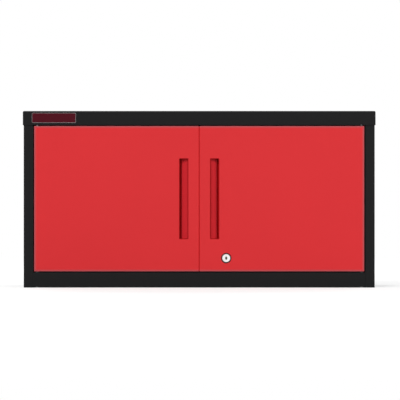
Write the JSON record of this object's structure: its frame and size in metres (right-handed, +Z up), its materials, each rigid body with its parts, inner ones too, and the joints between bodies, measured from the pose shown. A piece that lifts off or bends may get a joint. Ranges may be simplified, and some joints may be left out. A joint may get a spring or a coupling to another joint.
{
  "type": "two-door wall tool cabinet",
  "caption": "Steel wall cabinet with a capped top, hinged flush doors with recessed pulls, a cylinder lock, a slide bolt and an adjustable shelf.",
  "frame": {"origin": "centre of the bounding box's footprint, on the cabinet's underside", "axes": "+X to the right seen from the doors, +Y from the doors to the wall, +Z up"},
  "size_m": [1.005, 0.3026, 0.503],
  "materials": {
    "carcass_enamel": "semi-gloss black powder coat",
    "door_enamel": "semi-gloss red powder coat",
    "zinc": "bright zinc plate",
    "lock_chrome": "polished plate",
    "nylon": "moulded",
    "catch_plastic": "moulded",
    "magnet": "sintered",
    "rubber": "matt"
  },
  "bodies": {
    "carcass": {"left_side_panel": "carcass_enamel", "right_side_panel": "carcass_enamel", "bottom_panel": "carcass_enamel", "floor_stiffener": "carcass_enamel", "roof_panel": "carcass_enamel", "back_panel": "carcass_enamel", "lower_wall_rail": "carcass_enamel", "upper_wall_rail": "carcass_enamel", "top_cover": "carcass_enamel", "cover_studs": "zinc", "cover_nuts": "zinc", "upright_left_front": "carcass_enamel", "upright_left_rear": "carcass_enamel", "upright_right_front": "carcass_enamel", "upright_right_rear": "carcass_enamel", "shelf_clips": "zinc", "shelf": "carcass_enamel", "lower_pivot_pins": "zinc", "upper_pivot_pins": "zinc", "pivot_washers": "nylon", "catch_housings": "catch_plastic", "catch_magnets": "magnet", "catch_screws": "zinc", "door_bumpers": "rubber"},
    "left_door": {"left_door_skin": "door_enamel", "left_door_liner": "door_enamel", "left_pull_cup": "door_enamel", "left_pivot_bushes": "nylon", "bolt_guide": "zinc", "bolt_guide_screws": "zinc"},
    "right_door": {"right_door_skin": "door_enamel", "right_door_liner": "door_enamel", "right_pull_cup": "door_enamel", "right_pivot_bushes": "nylon", "lock_barrel": "lock_chrome", "lock_nut": "zinc"},
    "lock": {"lock_plug": "lock_chrome", "lock_cam": "zinc", "cam_screw": "zinc"},
    "door_bolt": {"bolt_rod": "zinc", "bolt_knob": "nylon"}
  },
  "joints": [
    {"name": "left_door_hinge", "type": "hinge", "parent": "carcass", "child": "left_door", "pos_m": [-0.4625, -0.14175, 0.25], "axis": [0, 0, -1], "range_deg": [0, 110]},
    {"name": "right_door_hinge", "type": "hinge", "parent": "carcass", "child": "right_door", "pos_m": [0.4625, -0.14175, 0.25], "axis": [0, 0, 1], "range_deg": [0, 110]},
    {"name": "lock_turn", "type": "hinge", "parent": "right_door", "child": "lock", "pos_m": [0.077, -0.14, 0.0838], "axis": [0, 1, 0], "range_deg": [0, 90]},
    {"name": "bolt_slide", "type": "slide", "parent": "left_door", "child": "door_bolt", "axis": [0, 0, -1], "range_m": [0, 0.01]}
  ]
}
